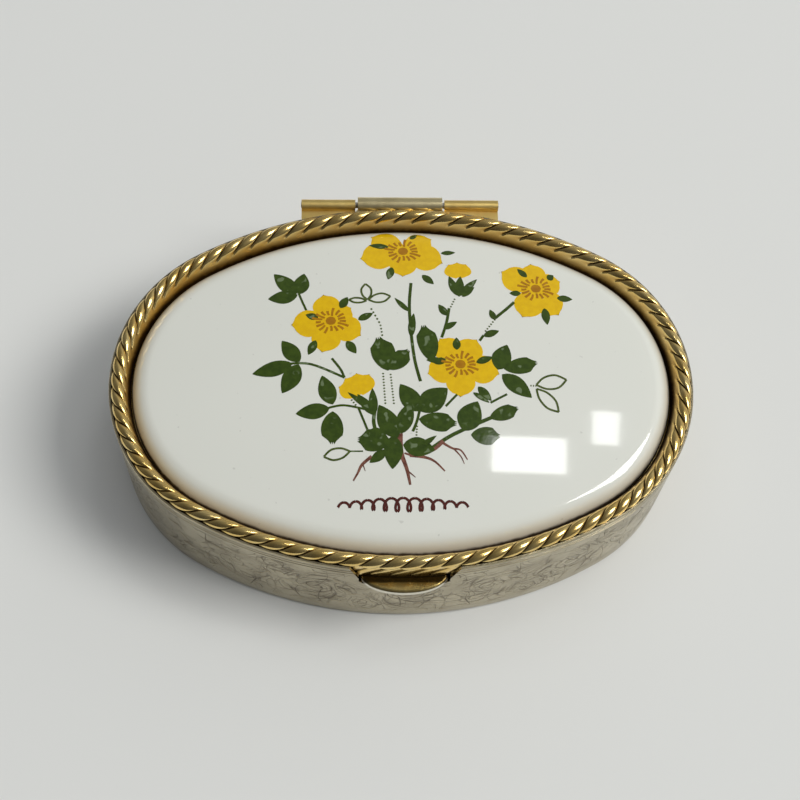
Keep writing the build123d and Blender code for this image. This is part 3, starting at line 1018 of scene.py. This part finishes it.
# %% Leaves and stems
LEAVES = [  # foot, tip and width, in mm on the lid
    ((-10.0, 8.9), (-12.3, 11.1), 1.5), ((-9.8, 8.8), (-9.4, 11.1), 1.5), ((-10.0, 8.7), (-12.8, 8.3), 1.4),
    ((-9.7, 1.5), (-11.4, 3.7), 1.5), ((-10.4, 1.3), (-14.1, 0.3), 1.5), ((-9.8, 1.2), (-11.3, -1.7), 1.7),
    ((-6.6, -2.9), (-7.6, 0.0), 1.6), ((-6.9, -3.3), (-10.0, -3.8), 1.5),
    ((1.5, -3.6), (-0.3, -0.9), 1.8), ((1.5, -3.6), (4.1, -1.3), 2.2), ((8.9, 0.7), (9.9, 3.3), 1.8),
    ((9.3, 0.2), (12.0, -2.1), 1.6), ((5.5, -5.5), (6.9, -2.6), 2.2), ((-0.6, -6.2), (-2.3, -3.0), 1.9),
    ((-0.3, -5.8), (0.7, -2.7), 1.5), ((-1.0, -6.0), (-1.1, -9.2), 1.7), ((-0.1, -6.9), (2.8, -7.4), 1.8),
    ((-1.7, -7.4), (-3.2, -8.6), 0.9), ((0.7, 6.8), (-0.7, 8.3), 0.5), ((0.8, 4.0), (1.1, 6.6), 0.7),
    ((4.3, 6.4), (3.5, 7.6), 0.7), ((3.9, 4.9), (5.2, 5.7), 0.6), ((8.9, 6.0), (8.4, 7.1), 0.6),
    ((7.7, 4.2), (9.2, 4.8), 0.7), ((6.5, -1.7), (8.0, -2.7), 0.5), ((0.9, -7.6), (3.0, -6.0), 0.6),
    ((-2.6, -4.0), (-4.3, -1.9), 0.9), ((-2.7, -3.9), (-2.9, -1.3), 0.8), ((-2.6, -3.6), (-5.2, -1.7), 0.6),
    ((5.5, 8.5), (5.7, 10.8), 0.9), ((5.6, 8.6), (7.3, 10.5), 0.7), ((5.4, 8.6), (4.6, 10.8), 0.8),
    ((5.8, 8.5), (7.0, 9.6), 0.6),
]
TOOTHED = [
    ((-1.4, 0.5), (-2.3, 3.9), 2.2), ((-1.3, 0.6), (0.5, 2.6), 1.6), ((2.7, 1.5), (2.0, 5.2), 1.9),
    ((-6.6, -3.6), (-6.6, -6.7), 2.0), ((9.5, 0.8), (12.6, 1.5), 1.6), ((1.4, -4.4), (4.8, -4.8), 1.8),
    ((8.0, -4.2), (10.6, -3.2), 1.4), ((6.2, -5.9), (8.8, -6.0), 1.7), ((-1.3, -6.6), (-4.2, -6.4), 2.1),
    ((2.9, 1.3), (4.0, 1.7), 0.7), ((-1.6, -6.2), (-3.4, -5.7), 1.3),
]
for foot, tip, width in LEAVES:
    stamp(leaf, "green", foot, tip, width, 0.018, 0.06)
for foot, tip, width in TOOTHED:
    stamp(toothed, "green", foot, tip, width, 0.018, -0.05)

STEMS = [
    ([(-9.9, 8.9), (-9.4, 7.6), (-8.9, 6.6), (-8.0, 6.2)], 0.22),
    ([(-10.8, 1.3), (-8.6, 1.2), (-5.5, -0.2)], 0.24),
    ([(-5.5, -0.2), (-5.9, 0.7), (-6.7, 1.8)], 0.24), ([(-7.2, -3.3), (-5.6, -3.0), (-3.6, -3.4)], 0.22),
    ([(0.9, 10.0), (0.7, 7.5), (0.8, 4.6), (1.1, 1.6), (1.6, -0.6)], 0.30),
    ([(4.5, 7.2), (4.2, 5.6), (3.7, 4.0)], 0.28),
    ([(-2.7, -3.6), (-2.8, -4.7), (-2.5, -6.0)], 0.34), ([(-4.2, -3.3), (-3.7, -4.6), (-3.2, -5.9)], 0.22),
    ([(2.4, -7.3), (4.0, -6.2), (5.5, -5.4), (8.3, -4.1)], 0.36),
    ([(10.8, 8.0), (10.0, 7.2), (8.9, 6.2)], 0.30),
    ([(7.7, 4.3), (7.3, 3.7)], 0.26), ([(8.1, -2.7), (9.7, -1.8)], 0.22), ([(3.9, -3.1), (5.0, -1.9)], 0.22),
    ([(1.5, -3.4), (1.2, -4.6), (0.8, -5.6)], 0.26), ([(-3.8, -7.5), (-5.0, -7.5)], 0.14),
]
for path, width in STEMS:
    stroke("green", path, width, 0.014)
for path, count in (
    ([(-3.0, 7.2), (-2.1, 5.4), (-1.9, 4.0)], 9),
    ([(-1.9, 0.3), (-1.7, -3.0)], 11), ([(-1.2, 0.2), (-0.9, -3.0)], 11),
    ([(5.1, 8.3), (4.6, 7.2)], 4), ([(8.9, 6.1), (7.8, 4.6)], 6), ([(1.2, -5.0), (1.1, -6.4)], 5),
    ([(-4.9, -2.4), (-4.0, -3.6)], 5), ([(11.9, -0.9), (12.6, -0.9)], 3),
):
    dashes("outline_green", path, 0.20, 0.014, count)
for foot, tip, width in (
    ((-3.2, 8.1), (-1.1, 8.5), 0.9), ((-3.3, 8.1), (-3.5, 9.9), 0.9), ((-3.4, 8.0), (-5.1, 8.1), 0.5),
    ((12.5, -0.8), (15.4, -0.2), 1.3), ((12.5, -1.2), (14.5, -3.5), 1.1), ((-5.0, -7.5), (-7.4, -8.0), 1.0),
):
    outline_leaf(foot, tip, width, 0.016)

ROOTS = [
    ([(-3.0, -8.0), (-3.9, -8.8), (-4.3, -9.6), (-4.7, -10.3)], 0.34),
    ([(-0.4, -5.8), (-0.3, -7.6), (0.2, -9.2), (0.5, -10.7)], 0.55),
    ([(0.5, -7.9), (1.9, -8.1), (2.8, -8.5), (3.7, -9.4)], 0.34),
    ([(3.4, -6.6), (4.4, -7.2), (5.2, -7.4), (5.8, -8.3)], 0.26),
    ([(3.6, -6.5), (2.6, -7.4), (1.0, -7.9), (0.0, -7.7)], 0.40),
    ([(4.6, -7.3), (5.2, -8.0), (5.5, -8.7)], 0.16),
    ([(-3.8, -8.8), (-3.6, -9.4)], 0.12), ([(0.3, -9.4), (1.0, -10.0)], 0.16),
]
for path, width in ROOTS:
    stroke("root_brown", path, width, 0.018, 0.6)
print("drawing laid:", {colour: len(group) for colour, group in layers.items()})

# %% Flourish
FLOURISH_LOOPS = 11


def flourish_path():
    """A running line of loops that grows and shrinks, as a pen makes to end a page."""
    path = []
    for k in range(FLOURISH_LOOPS * 12 + 1):
        t = k / 12
        size = 0.22 + 0.42 * sin(pi * t / FLOURISH_LOOPS) ** 1.5
        path.append((-6.1 + 1.08 * t - 0.62 * size * sin(2 * pi * t), -12.55 - size * cos(2 * pi * t)))
    return path


loops = flourish_path()
for start in range(0, len(loops) - 1, 6):
    stroke("dark_red", loops[start:start + 7], 0.25, 0.018)


# %% Join the layers
def enamel(name, dark, light, streak=None):
    """A fired colour: glossy, a little uneven, with streaks where the film is thin."""
    finish = Finish(name, Roughness=0.09, Coat_Weight=0.4, Coat_Roughness=0.03, IOR=1.5)
    uneven = finish.between(finish.noise(1.8, 3.0), 0.3, 0.7)
    colour = finish.mix(uneven, dark, light)
    if streak:
        along_it, across_it = finish.uv("blank")
        dabs = finish.between(finish.noise(1.1, 1.0), 0.60, 0.66)
        inside = finish.between(finish.math_abs(across_it - 0.5), 0.36, 0.26)
        inside = inside * finish.between(along_it, 0.92, 0.80)
        colour = finish.mix(dabs * inside * finish.between(along_it, 0.15, 0.3) * 0.55, colour, streak)
    finish.feed("Base Color", colour)
    finish.bump(uneven, 0.15, 0.01)
    return finish


ENAMELS = {
    "yellow": enamel("yellow_enamel", (0.72, 0.44, 0.0), (0.78, 0.50, 0.0)),
    "brown": enamel("brown_enamel", (0.36, 0.15, 0.0), (0.42, 0.19, 0.0)),
    "green": enamel("green_enamel", (0.026, 0.052, 0.001), (0.040, 0.074, 0.003), (0.22, 0.28, 0.16)),
    "outline_green": enamel("outline_enamel", (0.045, 0.070, 0.006), (0.09, 0.12, 0.03)),
    "root_brown": enamel("root_enamel", (0.10, 0.030, 0.018), (0.22, 0.09, 0.06)),
    "dark_red": enamel("dark_red_enamel", (0.062, 0.010, 0.006), (0.085, 0.016, 0.010)),
}
for colour, group in layers.items():
    deselect()
    for piece in group:
        piece.select_set(True)
    bpy.context.view_layer.objects.active = group[0]
    bpy.ops.object.join()
    film = bpy.context.object
    film.name = "print_" + colour
    polish(film, 60)
    dress(film, ENAMELS[colour])
    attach(film, "lid")
    print(film.name, len(film.data.polygons), "faces")
for piece in (petal, leaf, toothed, strip, disc):
    bpy.data.objects.remove(piece)

# %% [markdown]
# ## The pieces that keep their CAD shape
# The hinge's leaves and pin, the thumb lip, the liner, and the plates inside the lid are already right.
# They only need finishes: warm gold on the base's knuckles, a greyer gold where the lid's knuckle is
# rubbed, a brown gold on the lip with a painted shadow where it runs under the rim and a pale edge
# that is partly wear and partly painted highlight, brushed gilding inside, steel for the pin, and plain card.


# %% Other finishes
def metal_finish(name, clean, worn, roughness, brush=(1, 1, 1), relief=0.15):
    """Gilding with clouds of wear and fine brushing."""
    finish = Finish(name, Metallic=1.0)
    cloud = finish.noise(0.5, 4.0)
    lines = finish.noise(3.0, 3.0, brush)
    finish.feed("Base Color", finish.mix(finish.between(cloud, 0.35, 0.68), clean, worn))
    finish.feed("Roughness", roughness + (lines - 0.5) * 0.2)
    finish.bump(lines, relief, 0.008)
    return finish


amber = metal_finish("amber_gilt", (0.95, 0.72, 0.27), (0.88, 0.64, 0.22), 0.42)
rubbed = metal_finish("rubbed_gilt", (0.84, 0.72, 0.42), (0.74, 0.62, 0.34), 0.34)
lip_metal = metal_finish("lip_gilt", (0.56, 0.43, 0.17), (0.48, 0.36, 0.13), 0.24, relief=0.05)
lip_x, lip_y, lip_z = lip_metal.split(lip_metal.place())
lip_root = half_width - SKIRT_IN * mm
across_lip, out_of_wall = lip_x * (1 / lip_high.x), (lip_y + lip_root) * (1 / (lip_low.y + lip_root))
outer = lip_metal.between(across_lip * across_lip + out_of_wall * out_of_wall, 0.62, 0.80)
# Painted shadow: the lip is painted near-black where it runs in under the rope's bead.
corner = lip_metal.between(lip_y, lip_low.y + 0.92 * mm, lip_low.y + 1.12 * mm)
# The lip's lower outer edge is painted pale: partly wear, partly a painted highlight.
edge = lip_metal.between(lip_z, lip_high.z - 0.28 * mm, lip_high.z - 0.36 * mm) * outer
plain = lip_metal.shader.inputs["Base Color"].links[0].from_socket
worn_and_highlit_edge = lip_metal.mix(edge, Wire(lip_metal, plain), (0.80, 0.76, 0.64))
lip_metal.feed("Base Color", lip_metal.mix(corner * 0.9, worn_and_highlit_edge, (0.05, 0.03, 0.01)))
brushed = metal_finish("brushed_gilt", (0.84, 0.66, 0.34), (0.76, 0.58, 0.28), 0.34, (1, 6, 1))
steel = metal_finish("pin_steel", (0.56, 0.55, 0.52), (0.44, 0.42, 0.38), 0.32, (0.2, 4, 4))
card = Finish("grey_card", Roughness=0.9)
fibre = card.noise(2.5, 5.0)
card.feed("Base Color", card.mix(fibre, (0.40, 0.37, 0.31), (0.50, 0.47, 0.40)))
card.bump(fibre, 0.4, 0.03)
for name, finish in (
    ("base_hinge_leaf", amber), ("lid_hinge_leaf", rubbed), ("thumb_lip", lip_metal), ("hinge_pin", steel),
    ("liner_cup", brushed), ("lid_pan", brushed), ("packing_card", card),
):
    dress(nodes[name], finish)
print("finishes:", len(bpy.data.materials))

# %% Sizes and finish
visual_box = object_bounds()
sizes = {"cad": [list(corner) for corner in cad_box], "visual": [list(corner) for corner in visual_box]}
for name, box in sizes.items():
    print(name, [[round(1000 * value, 3) for value in corner] for corner in box])
